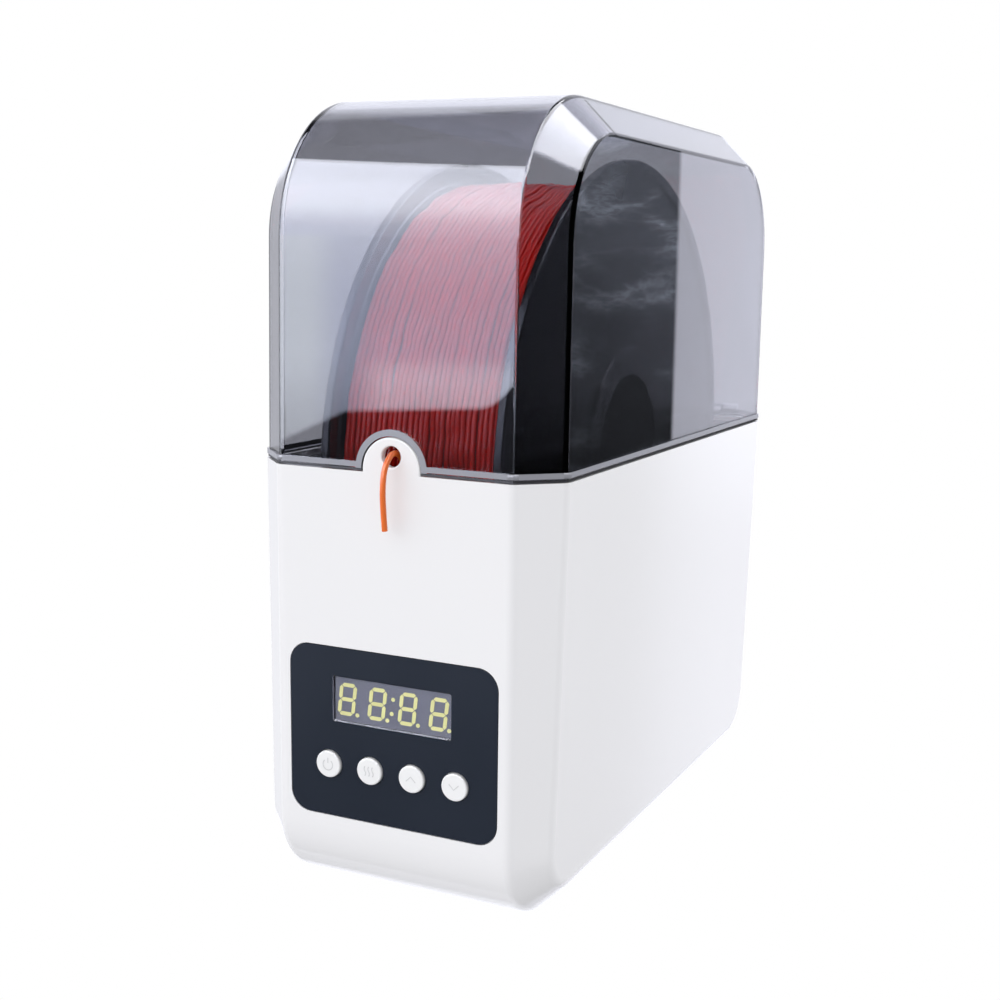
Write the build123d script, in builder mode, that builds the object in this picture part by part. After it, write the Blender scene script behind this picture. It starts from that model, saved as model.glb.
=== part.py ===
"""Desktop filament dryer box, in millimetres.

Every piece is drawn about the middle of the white shell. On saving it is moved so
that the origin lies on the surface that the feet stand on, under the middle of the
whole, hinges included. +Z is up, the front with the control panel faces -Y, and +X is
to the right of someone who looks at the front.
"""
import os
from math import cos, radians, sin, sqrt, tan

from build123d import *

os.makedirs("parts", exist_ok=True)

# ---- driving dimensions -------------------------------------------------------------------
box_width = 102.0            # across the two sides, at the parting line
box_depth = 222.0            # front to back, at the parting line
base_height = 135.2          # white base, from its underside to its top rim
lid_height = 108.8           # clear lid, from its rim to the crown
base_wall = 2.5
lid_wall = 2.2
side_bevel = 12.0            # 45 degree bevel that follows the whole side outline
base_corner = 25.0           # rounding of the base's lower front and back corners
lid_corner = 43.0            # rounding of the lid's upper front and back corners
base_draft = 1.0             # degrees
lid_draft = 0.2
base_softness = 4.0          # radius along the base's bevel edges
lid_softness = 1.4

foot_height = 2.5
foot_radius = 7.0
foot_spacing_x = 52.0
foot_spacing_y = 148.0

rim_height = 1.9             # band round the lid's lower edge
rim_proud = 0.7              # how far that band stands out from the lid's wall
seal_height = 0.7
seal_gap = 0.3               # free height under the seal
seal_width = 1.4

arch_radius = 9.6            # white tab that carries the filament outlet
arch_rise = 0.8              # height of the arch's centre above the parting line
arch_gap = 0.3
outlet_radius = 3.1
outlet_rise = 4.7

spool_radius = 100.0
spool_width = 61.0
spool_sink = 4.4             # spool axis below the parting line
spool_bore_radius = 27.5
core_radius = 50.0
core_wall = 2.4
winding_depth = 7.5          # how far the wound filament lies below the flanges' rim
flange_thick = 2.2
bead_thick = 3.0
bead_height = 4.0

roller_radius = 8.0          # bottom of the groove that carries a spool flange
roller_rim = 2.0
roller_groove = 4.0
roller_width = 8.0
groove_flare = 0.5           # how far the groove's sides lean out over their height
roller_angle = 38.0          # degrees each side of straight down, seen from the spool axis
roller_gap = 0.3
axle_radius = 2.5
axle_clearance = 0.05
bush_radius = 4.0
bracket_thick = 3.5
bracket_face = 36.0          # inner face of a bracket, from the middle of the box

tray_wall = 2.0
tray_clearance = 8.0         # between the base's side wall and the inside of the tray
tray_floor = 29.0            # upper side of the tray's floor
tray_gap = 0.3
tray_lip_drop = 1.7          # lip's top below the base's rim
heater_length = 116.0
heater_width = 52.0
heater_thick = 1.5

panel_width = 70.4
panel_height = 53.6
panel_drop = 81.5            # panel's centre below the parting line
panel_corner = 6.5
panel_thick = 1.2
panel_gap = 0.25
window_width = 40.4
window_height = 14.2
window_rise = 10.7           # window's centre above the panel's centre
window_thick = 1.2
digit_height = 10.2
digit_width = 5.9
digit_pitch = 10.4
digit_slant = 6.5            # degrees
segment_width = 1.15
button_radius = 4.25
button_pitch = 14.4
button_drop = 10.3           # buttons' centres below the panel's centre
button_proud = 0.9
button_travel = 0.5
button_clearance = 0.25
board_depth = 10.1           # face of the control board behind the panel's face
board_thick = 1.6

hinge_spacing = 48.0
hinge_radius = 4.0
hinge_gap = 0.6
hinge_pin_radius = 1.5
pin_clearance = 0.06
knuckle_length = 12.0
knuckle_gap = 0.35

inlet_height = 40.0          # power inlet above the surface the feet stand on
strand_radius = 0.875        # 1.75 mm filament

# ---- levels that follow from them ---------------------------------------------------------
rim_z = foot_height + base_height            # top of the base
lid_z = rim_z + seal_gap + seal_height       # underside of the lid
parting_z = rim_z + seal_gap
spool_z = parting_z - spool_sink
winding_radius = spool_radius - winding_depth
tray_half_width = box_width / 2 - base_wall - tray_clearance
base_slope = tan(radians(base_draft))
bevel_inside = 2 - sqrt(2)                   # share of a wall that an inner bevel loses


def drafted_block(width, depth, level, height, up, corner, bevel, draft, softness=0.0):
    """A block standing on (up=1) or hanging from (up=-1) a level, its far corners rounded,
    a 45 degree bevel round both side outlines and its walls drafted inwards."""
    slope = tan(radians(draft))
    far = level + up * height
    far_depth = depth / 2 - slope * height
    with BuildPart() as block:
        with BuildSketch(Plane.YZ) as side:
            with BuildLine():
                Polyline((-depth / 2, level), (-far_depth, far), (far_depth, far),
                         (depth / 2, level), close=True)
            make_face()
            far_corners = side.vertices().sort_by(lambda v: abs(v.Y - level))[2:]
            fillet(far_corners, corner)
        extrude(amount=width / 2, both=True)
        outline = block.faces().filter_by(Axis.X).edges()
        chamfer(outline.filter_by(lambda e: abs(e.center().Z - level) > 0.01), bevel)
        for x in (-1, 1):
            wall = Plane(origin=(x * width / 2, 0, level),
                         z_dir=(x * cos(radians(draft)), 0, up * sin(radians(draft))))
            split(bisect_by=wall, keep=Keep.BOTTOM)
        if softness:
            inner = block.edges().filter_by(
                lambda e: abs(abs(e.center().X) - (width / 2 - bevel)) < 0.01
                and abs(e.center().Z - level) > 0.01)
            outer = (block.faces().sort_by(Axis.X)[0].edges()
                     + block.faces().sort_by(Axis.X)[-1].edges())
            outer = outer.filter_by(lambda e: abs(e.center().Z - level) > 0.01)
            fillet(inner + outer, softness)
    return block.part


def base_form(inset=0.0, soft=True):
    """The base's outer form, or its cavity when inset is the wall thickness."""
    return drafted_block(box_width - 2 * inset, box_depth - 2 * inset, rim_z,
                         base_height - inset, -1, base_corner - inset,
                         side_bevel - bevel_inside * inset, base_draft,
                         base_softness if soft else 0.0)


def lid_form(inset, soft=True):
    """The lid's outer form, or its cavity."""
    return drafted_block(box_width - 2 * inset, box_depth - 2 * inset, lid_z,
                         lid_height - inset + rim_proud, 1, lid_corner - inset,
                         side_bevel - bevel_inside * inset, lid_draft,
                         lid_softness if soft else 0.0)


def plan_sketch(level, inset=0.0, soft=False):
    """The box's plan shape at the parting line, laid at a level."""
    with BuildSketch(Plane.XY.offset(level)) as plan:
        Rectangle(box_width - 2 * inset, box_depth - 2 * inset)
        chamfer(plan.vertices(), side_bevel - bevel_inside * inset)
        if soft:
            fillet(plan.vertices(), base_softness)
    return plan.sketch


# ---- base shell ---------------------------------------------------------------------------
front_face = Plane.XZ.offset(box_depth / 2)
arch_z = parting_z + arch_rise
outlet_z = parting_z + outlet_rise

panel_z = parting_z - panel_drop
panel_y = -box_depth / 2 + base_slope * (rim_z - panel_z)
panel_plane = Plane(origin=(0, panel_y, panel_z), x_dir=(1, 0, 0),
                    z_dir=(0, -cos(radians(base_draft)), -sin(radians(base_draft))))
panel_border = 3.3           # how far the panel's rim overlaps its opening
panel_step_width = panel_width - 2 * panel_border
panel_step_height = panel_height - 2 * panel_border
panel_step = 2.7             # panel's full thickness, with the step behind it
panel_step_corner = panel_corner - 3.25
boss_radius = 3.0
board_boss_x = 36.0
board_boss_y = 15.0
screw_radius = 1.25          # nominal 2.5 mm thread forming screws throughout
pilot_radius = screw_radius - 0.2
passage_radius = screw_radius + 0.2
shank_radius = screw_radius - 0.25

hinge_y = box_depth / 2 + hinge_radius + hinge_gap
hinge_z = (rim_z + lid_z) / 2 + 0.15
outer_knuckle = 6.0
lid_web_drop = 0.6           # underside of a lid knuckle's web above the hinge axis
row_shift = (hinge_y + hinge_radius - box_depth / 2) / 2

cover_length = 120.0
cover_width = 58.0
cover_corner = 6.0
cover_thick = 2.0
cover_ledge = 3.0
cover_gap = 0.3
cover_screw_inset = 5.0
cover_screw_x = cover_width / 2 - cover_screw_inset
cover_screw_y = cover_length / 2 - cover_screw_inset
cover_boss_height = 6.0
cover_pilot_depth = 7.0

tray_screw_x = box_width / 2 - base_wall - 2.9
tray_screw_y = 62.0
tray_lip_z = rim_z - tray_lip_drop
tray_lip_thick = 1.8
tray_boss_radius = 2.7
tray_boss_height = 16.0
tray_pilot_depth = 10.0

arch_edge = 0.6
outlet_edge = 0.5
inlet_radius = 4.0
inlet_gap = 0.15


def hinge_barrels(centres, length, bore_radius, low, high, inner_y):
    """Hinge knuckles along X at the given centres, on webs that reach a wall at inner_y."""
    with BuildPart() as barrels:
        for x in centres:
            with BuildSketch(Plane.YZ.offset(x - length / 2)):
                with BuildLine():
                    Polyline((inner_y, low), (hinge_y, low), (hinge_y, high), (inner_y, high),
                             close=True)
                make_face()
                with Locations((hinge_y, hinge_z)):
                    Circle(hinge_radius)
                    Circle(bore_radius, mode=Mode.SUBTRACT)
            extrude(amount=length)
    return barrels.part


outer_offset = knuckle_length / 2 + knuckle_gap + outer_knuckle / 2
base_knuckles = [side * hinge_spacing / 2 + step * outer_offset
                 for side in (-1, 1) for step in (-1, 1)]
lid_knuckles = [-hinge_spacing / 2, hinge_spacing / 2]

base_outer = base_form()
base_cavity = base_form(base_wall, soft=False)
rear_inner_y = box_depth / 2 - base_wall - 0.2

with BuildPart() as arch_tab:
    with BuildSketch(front_face):
        with BuildLine():
            Polyline((arch_radius, arch_z), (arch_radius, rim_z - 1), (-arch_radius, rim_z - 1),
                     (-arch_radius, arch_z))
            ThreePointArc((-arch_radius, arch_z), (0, arch_z + arch_radius),
                          (arch_radius, arch_z))
        make_face()
    extrude(amount=-base_wall)
    fillet(arch_tab.edges().filter_by(GeomType.CIRCLE), arch_edge)

with BuildPart() as base_shell:
    add(base_outer)
    add(base_cavity, mode=Mode.SUBTRACT)

    # arched tab with the filament outlet
    add(arch_tab.part)
    with BuildSketch(front_face):
        with Locations((0, outlet_z)):
            Circle(outlet_radius)
    extrude(amount=-base_wall, mode=Mode.SUBTRACT)
    outlet_rim = base_shell.edges().filter_by(GeomType.CIRCLE).filter_by(
        lambda e: abs(e.radius - outlet_radius) < 0.01)
    fillet(outlet_rim, outlet_edge)

    # bosses for the control board, then the panel's recess and opening
    with BuildSketch(panel_plane.offset(-board_depth)):
        with GridLocations(2 * board_boss_x, 2 * board_boss_y, 2, 2):
            Circle(boss_radius)
    extrude(amount=board_depth - base_wall + 0.5)
    with BuildSketch(panel_plane.offset(-board_depth)):
        with GridLocations(2 * board_boss_x, 2 * board_boss_y, 2, 2):
            Circle(pilot_radius)
    extrude(amount=board_depth - base_wall - 1.0, mode=Mode.SUBTRACT)
    with BuildSketch(panel_plane.offset(-panel_thick)):
        RectangleRounded(panel_width + 2 * panel_gap, panel_height + 2 * panel_gap,
                         panel_corner + panel_gap)
    extrude(amount=panel_thick + 1, mode=Mode.SUBTRACT)
    with BuildSketch(panel_plane.offset(-base_wall - 1)):
        RectangleRounded(panel_step_width + 2 * panel_gap, panel_step_height + 2 * panel_gap,
                         panel_step_corner + panel_gap)
    extrude(amount=base_wall + 1, mode=Mode.SUBTRACT)

    # floor: recess and opening for the cover, and bosses for its screws
    with BuildSketch(Plane.XY.offset(foot_height)):
        RectangleRounded(cover_width + 2 * cover_gap, cover_length + 2 * cover_gap,
                         cover_corner + cover_gap)
    extrude(amount=cover_thick, mode=Mode.SUBTRACT)
    with BuildSketch(Plane.XY.offset(foot_height)):
        RectangleRounded(cover_width - 2 * cover_ledge, cover_length - 2 * cover_ledge,
                         cover_corner - cover_ledge)
    extrude(amount=base_wall, mode=Mode.SUBTRACT)
    with BuildSketch(Plane.XY.offset(foot_height + cover_thick)):
        with GridLocations(2 * cover_screw_x, 2 * cover_screw_y, 2, 2):
            Circle(boss_radius)
    extrude(amount=cover_boss_height)
    with BuildSketch(Plane.XY.offset(foot_height)):
        with GridLocations(2 * cover_screw_x, 2 * cover_screw_y, 2, 2):
            Circle(pilot_radius)
    extrude(amount=cover_pilot_depth, mode=Mode.SUBTRACT)

    # bosses along the side walls that the tray is screwed to
    with BuildSketch(Plane.XY.offset(tray_lip_z - tray_lip_thick - tray_boss_height)):
        with GridLocations(2 * tray_screw_x, 2 * tray_screw_y, 2, 2):
            Circle(tray_boss_radius)
        for side in (-1, 1):
            with GridLocations(0, 2 * tray_screw_y, 1, 2):
                with Locations((side * (tray_screw_x + tray_boss_radius / 2 + 0.3), 0)):
                    Rectangle(tray_boss_radius + 0.6, 2 * tray_boss_radius)
    extrude(amount=tray_boss_height)
    with BuildSketch(Plane.XY.offset(tray_lip_z - tray_pilot_depth)):
        with GridLocations(2 * tray_screw_x, 2 * tray_screw_y, 2, 2):
            Circle(pilot_radius)
    extrude(amount=tray_pilot_depth, mode=Mode.SUBTRACT)

    # rear: hinge knuckles on webs, and the power inlet's hole
    add(hinge_barrels(base_knuckles, outer_knuckle, hinge_pin_radius, hinge_z - hinge_radius,
                      rim_z, rear_inner_y))
    with BuildSketch(Plane.XZ.offset(-box_depth / 2)):
        with Locations((0, inlet_height)):
            Circle(inlet_radius + inlet_gap)
    extrude(amount=2 * base_wall + 3, mode=Mode.SUBTRACT)


def save(piece, name):
    """Moves a finished piece into the shared frame, labels it and writes it."""
    placed = Pos(0, -row_shift, 0) * piece
    placed.label = name
    export_step(placed, "parts/" + name + ".step")


cross_length = 2.6           # cross recess in a screw's head
cross_width = 0.6
cross_depth = 0.9


def pan_screws(points, z, length, head_radius=2.3, head_height=1.6):
    """Pan head screws whose heads rest on a level, one solid each, pointing down."""
    with BuildPart() as screws:
        for x, y in points:
            with BuildSketch(Plane.XY.offset(z)):
                with Locations((x, y)):
                    Circle(head_radius)
            extrude(amount=head_height)
            with BuildSketch(Plane.XY.offset(z - length)):
                with Locations((x, y)):
                    Circle(shank_radius)
            extrude(amount=length)
            with BuildSketch(Plane.XY.offset(z + head_height - cross_depth)):
                with Locations((x, y)):
                    Rectangle(cross_length, cross_width)
                    Rectangle(cross_width, cross_length)
            extrude(amount=cross_depth, mode=Mode.SUBTRACT)
    return screws.part


def corners(x, y):
    """The four corners of a rectangle with these half sides."""
    return [(i * x, j * y) for i in (-1, 1) for j in (-1, 1)]


save(base_shell.part, "base_shell")

# ---- bottom cover, its screws and the feet ------------------------------------------------
vent_count = 9
vent_pitch = 8.0
vent_length = 30.0
vent_width = 3.0
foot_edge = 0.6

with BuildPart() as bottom_cover:
    with BuildSketch(Plane.XY.offset(foot_height)):
        RectangleRounded(cover_width, cover_length, cover_corner)
        with GridLocations(0, vent_pitch, 1, vent_count):
            SlotOverall(vent_length, vent_width, mode=Mode.SUBTRACT)
        with GridLocations(2 * cover_screw_x, 2 * cover_screw_y, 2, 2):
            Circle(passage_radius, mode=Mode.SUBTRACT)
    extrude(amount=cover_thick - 0.2)
save(bottom_cover.part, "bottom_cover")

cover_screws = Rot(180, 0, 0) * pan_screws(corners(cover_screw_x, cover_screw_y),
                                           -foot_height, cover_boss_height)
save(cover_screws, "cover_screws")

with BuildPart() as rubber_feet:
    with BuildSketch(Plane.XY):
        with GridLocations(foot_spacing_x, foot_spacing_y, 2, 2):
            Circle(foot_radius)
    extrude(amount=foot_height)
    chamfer(rubber_feet.edges().group_by(Axis.Z)[0], foot_edge)
save(rubber_feet.part, "rubber_feet")

# ---- chamber tray: the black inner tub that the spool and rollers sit in -------------------
roller_reach = spool_radius + roller_gap + roller_radius
roller_y = roller_reach * sin(radians(roller_angle))
roller_z = spool_z - roller_reach * cos(radians(roller_angle))

tray_top_y = box_depth / 2 - base_wall - 3.0
tray_waist_y = 85.0
tray_waist_z = 76.0
tray_shoulder_z = 108.0
tray_bend = 9.0
tray_bevel = 6.0
lug_reach = 7.0              # lugs that fasten a roller bracket to the tray's floor
lug_thick = 2.4
lug_y = 34.0
lug_width = 9.0
lug_x = bracket_face - lug_reach / 2
heater_clearance = 0.25
heater_seat = 1.0            # depth of the step that the heater plate lies on
heater_ledge = 3.0
heater_corner = 3.75


def tray_profile(outward, top_z):
    """The tray's side profile, moved outward by a wall."""
    with BuildSketch(Plane.YZ) as profile:
        with BuildLine():
            Polyline((-tray_top_y, top_z), (-tray_top_y, tray_shoulder_z),
                     (-tray_waist_y, tray_waist_z), (-tray_waist_y, tray_floor),
                     (tray_waist_y, tray_floor), (tray_waist_y, tray_waist_z),
                     (tray_top_y, tray_shoulder_z), (tray_top_y, top_z), close=True)
        make_face()
        bends = profile.vertices().filter_by(lambda v: v.Y < top_z - 1)
        fillet(bends, tray_bend)
        if outward:
            offset(amount=outward, kind=Kind.INTERSECTION)
    return profile.sketch


def tray_block(outward, top_z):
    """The tray's side profile made solid, its four upright corners bevelled."""
    bevel = tray_bevel + bevel_inside * outward
    with BuildPart() as block:
        add(extrude(tray_profile(outward, top_z), amount=tray_half_width + outward, both=True))
        with BuildSketch(Plane.XY):
            Rectangle(2 * (tray_half_width + outward), 2 * (tray_top_y + outward))
            chamfer(vertices(), bevel)
        extrude(amount=top_z + 2 * outward, mode=Mode.INTERSECT)
    return block.part


lip_inset = base_wall + tray_gap + base_slope * (tray_lip_drop + tray_lip_thick)
over_lip = 4 * tray_wall     # height cleared above the lip

with BuildPart() as chamber_tray:
    add(tray_block(tray_wall, tray_lip_z))
    with BuildSketch(Plane.XY.offset(tray_lip_z)):
        Rectangle(2 * box_width, 2 * box_depth)
    extrude(amount=over_lip, mode=Mode.SUBTRACT)
    add(extrude(plan_sketch(tray_lip_z - tray_lip_thick, lip_inset), amount=tray_lip_thick))
    add(tray_block(0, tray_lip_z + over_lip), mode=Mode.SUBTRACT)
    with BuildSketch(Plane.XY.offset(tray_lip_z - tray_lip_thick)):
        with GridLocations(2 * tray_screw_x, 2 * tray_screw_y, 2, 2):
            Circle(passage_radius)
    extrude(amount=tray_lip_thick, mode=Mode.SUBTRACT)
    # opening in the floor, with a ledge that the heater plate lies on
    with BuildSketch(Plane.XY.offset(tray_floor - heater_seat)):
        RectangleRounded(heater_width + 2 * heater_clearance,
                         heater_length + 2 * heater_clearance,
                         heater_corner + heater_clearance)
    extrude(amount=heater_seat, mode=Mode.SUBTRACT)
    with BuildSketch(Plane.XY.offset(tray_floor - tray_wall)):
        RectangleRounded(heater_width - 2 * heater_ledge, heater_length - 2 * heater_ledge,
                         heater_ledge)
    extrude(amount=tray_wall, mode=Mode.SUBTRACT)
    with BuildSketch(Plane.XY.offset(tray_floor - tray_wall)):
        with GridLocations(2 * lug_x, 2 * lug_y, 2, 2):
            Circle(pilot_radius)
    extrude(amount=tray_wall, mode=Mode.SUBTRACT)
save(chamber_tray.part, "chamber_tray")

tray_screws = pan_screws(corners(tray_screw_x, tray_screw_y), tray_lip_z,
                         tray_pilot_depth - 2.0, head_radius=2.2, head_height=1.3)
save(tray_screws, "tray_screws")

# ---- heater plate, heating mat, thermal fuse and the air sensor ---------------------------
plate_z = tray_floor - heater_seat
with BuildPart() as heater_plate:
    with BuildSketch(Plane.XY.offset(plate_z)):
        RectangleRounded(heater_width, heater_length, heater_corner)
    extrude(amount=heater_thick)
save(heater_plate.part, "heater_plate")

mat_thick = 1.6
mat_margin = 7.0             # bare edge of the plate round the mat
mat_z = plate_z - mat_thick
with BuildPart() as heating_mat:
    with BuildSketch(Plane.XY.offset(mat_z)):
        RectangleRounded(heater_width - 2 * mat_margin, heater_length - 2 * mat_margin, 2)
    extrude(amount=mat_thick)
save(heating_mat.part, "heating_mat")

fuse_length, fuse_width, fuse_height = 16.0, 6.0, 4.4
with BuildPart() as thermal_fuse:
    with BuildSketch(Plane.XY.offset(mat_z - fuse_height)):
        RectangleRounded(fuse_width, fuse_length, fuse_width / 5)
    extrude(amount=fuse_height)
    fillet(thermal_fuse.edges().filter_by(Axis.Y).group_by(Axis.Z)[0], fuse_width / 4)
save(thermal_fuse.part, "thermal_fuse")

sensor_z = 96.0
sensor_board = (15.0, 22.0, 1.6)
sensor_case = (12.0, 15.0, 4.0)
sensor_slot, sensor_slot_pitch = 2.0, 3.2
with BuildPart() as humidity_sensor:
    with BuildSketch(Plane.YZ.offset(tray_half_width - sensor_board[2])):
        with Locations((0, sensor_z)):
            RectangleRounded(sensor_board[0], sensor_board[1], 1)
    extrude(amount=sensor_board[2])
    with BuildSketch(Plane.YZ.offset(tray_half_width - sensor_board[2] - sensor_case[2])):
        with Locations((0, sensor_z + 2)):
            RectangleRounded(sensor_case[0], sensor_case[1], 1)
            with GridLocations(sensor_slot_pitch, sensor_slot_pitch, 3, 4):
                RectangleRounded(sensor_slot, sensor_slot, 0.4, mode=Mode.SUBTRACT)
    extrude(amount=sensor_case[2])
save(humidity_sensor.part, "humidity_sensor")

# ---- roller brackets, bushes, axles and rollers -------------------------------------------
post_width = 18.0            # upright of a bracket round its bush
post_corner = 4.0
bracket_length = 2 * roller_y + post_width
bracket_low = 10.0
bracket_top = roller_z + 8.5
axle_shortfall = 0.2         # each axle end inside its bracket's outer face
axle_length = 2 * (bracket_face + bracket_thick - axle_shortfall)
axle_edge = 0.4
bush_clearance = 0.02
side_names = {-1: "left", 1: "right"}

for side, word in side_names.items():
    with BuildPart() as bracket:
        start = bracket_face if side > 0 else -bracket_face - bracket_thick
        with BuildSketch(Plane.YZ.offset(start)):
            with Locations((0, tray_floor + bracket_low / 2)):
                Rectangle(bracket_length, bracket_low)
            for end in (-1, 1):
                with Locations((end * roller_y, (tray_floor + bracket_top) / 2)):
                    RectangleRounded(post_width, bracket_top - tray_floor, post_corner)
                with Locations((end * roller_y, tray_floor + post_corner)):
                    Rectangle(post_width, 2 * post_corner)
            with Locations((-roller_y, roller_z), (roller_y, roller_z)):
                Circle(bush_radius + bush_clearance, mode=Mode.SUBTRACT)
        extrude(amount=bracket_thick)
        for end in (-1, 1):
            with BuildSketch(Plane.XY.offset(tray_floor)):
                with Locations((side * lug_x, end * lug_y)):
                    Rectangle(lug_reach, lug_width)
                    Circle(passage_radius, mode=Mode.SUBTRACT)
            extrude(amount=lug_thick)
    save(bracket.part, "roller_bracket_" + word)

bracket_screws = pan_screws(corners(lug_x, lug_y), tray_floor + lug_thick,
                            lug_thick + 1.4, head_radius=2.2, head_height=1.4)
save(bracket_screws, "bracket_screws")

with BuildPart() as axle_bushes:
    for x in (-bracket_face - bracket_thick, bracket_face):
        with BuildSketch(Plane.YZ.offset(x)):
            with Locations((-roller_y, roller_z), (roller_y, roller_z)):
                Circle(bush_radius)
                Circle(axle_radius + axle_clearance, mode=Mode.SUBTRACT)
        extrude(amount=bracket_thick)
save(axle_bushes.part, "axle_bushes")

flange_middle = spool_width / 2 - bead_thick / 2
for end, word in ((-1, "front"), (1, "rear")):
    with BuildPart() as axle:
        with BuildSketch(Plane.YZ.offset(-axle_length / 2)):
            with Locations((end * roller_y, roller_z)):
                Circle(axle_radius)
        extrude(amount=axle_length)
        chamfer(axle.edges().filter_by(GeomType.CIRCLE), axle_edge)
    save(axle.part, word + "_axle")
    with BuildPart() as rollers:
        for x in (-flange_middle, flange_middle):
            with BuildSketch(Plane.XY):
                with BuildLine():
                    Polyline((x - roller_width / 2, axle_radius),
                             (x - roller_width / 2, roller_radius + roller_rim),
                             (x - roller_groove / 2 - groove_flare, roller_radius + roller_rim),
                             (x - roller_groove / 2, roller_radius),
                             (x + roller_groove / 2, roller_radius),
                             (x + roller_groove / 2 + groove_flare, roller_radius + roller_rim),
                             (x + roller_width / 2, roller_radius + roller_rim),
                             (x + roller_width / 2, axle_radius), close=True)
                make_face()
            revolve(axis=Axis.X)
    save(Pos(0, end * roller_y, roller_z) * rollers.part, word + "_rollers")

# ---- control panel, display, buttons and board --------------------------------------------
button_places = [(button_pitch * (i - 1.5), -button_drop) for i in range(4)]
button_flange = 1.0
button_slack = 0.1           # free height between a button's flange and the panel at rest
button_flange_width = 1.0
button_edge = 0.5
stem_radius = 1.5
switch_size = 6.0
switch_height = 3.5
stem_gap = 0.1               # free length between a stem and its switch, pressed home
stem_end = board_depth - switch_height - button_travel - stem_gap
window_gap = 0.1
window_corner = 0.7

with BuildPart() as control_panel:
    with BuildSketch(panel_plane.offset(-panel_thick)):
        RectangleRounded(panel_width, panel_height, panel_corner)
    extrude(amount=panel_thick)
    with BuildSketch(panel_plane.offset(-panel_step)):
        RectangleRounded(panel_step_width, panel_step_height, panel_step_corner)
    extrude(amount=panel_step - panel_thick)
    with BuildSketch(panel_plane.offset(-panel_step)):
        with Locations((0, window_rise)):
            RectangleRounded(window_width + 2 * window_gap, window_height + 2 * window_gap,
                             window_corner + window_gap)
        with Locations(button_places):
            Circle(button_radius + button_clearance)
    extrude(amount=panel_step, mode=Mode.SUBTRACT)
save(control_panel.part, "control_panel")

with BuildPart() as display_window:
    with BuildSketch(panel_plane.offset(-window_thick)):
        with Locations((0, window_rise)):
            RectangleRounded(window_width, window_height, window_corner)
    extrude(amount=window_thick)
save(display_window.part, "display_window")

segment_thick = 0.2
module_face = window_thick + window_gap + segment_thick
module_margin = 0.3
with BuildPart() as led_display:
    with BuildSketch(panel_plane.offset(-board_depth)):
        with Locations((0, window_rise)):
            Rectangle(window_width - 2 * module_margin, window_height - 2 * module_margin)
    extrude(amount=board_depth - module_face)
save(led_display.part, "led_display")

segment_gap = 0.18
bar_x = digit_width / 2
bar_y = digit_height / 2


def slanted(x, y):
    """A point of a digit, leaned over by the digit's slant."""
    return (x + y * tan(radians(digit_slant)), y)


def bar_outline(start, end):
    """The six corners of one pointed bar of a digit."""
    (x0, y0), (x1, y1) = start, end
    half = segment_width / 2
    length = sqrt((x1 - x0) ** 2 + (y1 - y0) ** 2)
    ux, uy = (x1 - x0) / length, (y1 - y0) / length
    tip, shoulder = segment_gap, segment_gap + half
    spots = [(tip, 0), (shoulder, half), (length - shoulder, half), (length - tip, 0),
             (length - shoulder, -half), (shoulder, -half)]
    return [slanted(x0 + ux * a - uy * b, y0 + uy * a + ux * b) for a, b in spots]


edge_x, edge_y = bar_x - segment_width / 2, bar_y - segment_width / 2
digit_bars = [((-edge_x, edge_y), (edge_x, edge_y)), ((edge_x, edge_y), (edge_x, 0)),
              ((edge_x, 0), (edge_x, -edge_y)), ((edge_x, -edge_y), (-edge_x, -edge_y)),
              ((-edge_x, -edge_y), (-edge_x, 0)), ((-edge_x, 0), (-edge_x, edge_y)),
              ((-edge_x, 0), (edge_x, 0))]
dot_radius = 0.62
dot_offset = 0.5             # decimal point beyond its digit's edge
colon_height = 4.5
with BuildPart() as display_digits:
    with BuildSketch(panel_plane.offset(-module_face)):
        for i in range(4):
            middle = digit_pitch * (i - 1.5)
            for start, end in digit_bars:
                outline = [(middle + x, window_rise + y) for x, y in bar_outline(start, end)]
                with BuildLine():
                    Polyline(*outline, close=True)
                make_face()
            with Locations((middle + bar_x + dot_offset, window_rise - edge_y)):
                Circle(dot_radius)
        for y in (-1, 1):
            dot = slanted(0, y * colon_height / 2)
            with Locations((dot[0], window_rise + dot[1])):
                Circle(dot_radius)
    extrude(amount=segment_thick)
save(display_digits.part, "display_digits")

for place, word in zip(button_places, ("power", "heat", "up", "down")):
    with BuildPart() as button:
        with BuildSketch(panel_plane.offset(-panel_step - button_slack)):
            with Locations(place):
                Circle(button_radius)
        extrude(amount=panel_step + button_slack + button_proud)
        fillet(button.edges().group_by(Axis.Y)[0], button_edge)
        with BuildSketch(panel_plane.offset(-panel_step - button_slack - button_flange)):
            with Locations(place):
                Circle(button_radius + button_flange_width)
        extrude(amount=button_flange)
        with BuildSketch(panel_plane.offset(-stem_end)):
            with Locations(place):
                Circle(stem_radius)
        extrude(amount=stem_end - panel_step - button_slack - button_flange)
    save(button.part, "button_" + word)

board_margin = 3.6
board_width = 2 * (board_boss_x + board_margin)
board_height = panel_step_height + 0.8
board_corner = 1.5
with BuildPart() as control_board:
    with BuildSketch(panel_plane.offset(-board_depth - board_thick)):
        RectangleRounded(board_width, board_height, board_corner)
        with GridLocations(2 * board_boss_x, 2 * board_boss_y, 2, 2):
            Circle(passage_radius, mode=Mode.SUBTRACT)
    extrude(amount=board_thick)
save(control_board.part, "control_board")

with BuildPart() as tact_switches:
    with BuildSketch(panel_plane.offset(-board_depth)):
        with Locations(button_places):
            Rectangle(switch_size, switch_size)
    extrude(amount=switch_height)
save(tact_switches.part, "tact_switches")

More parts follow.
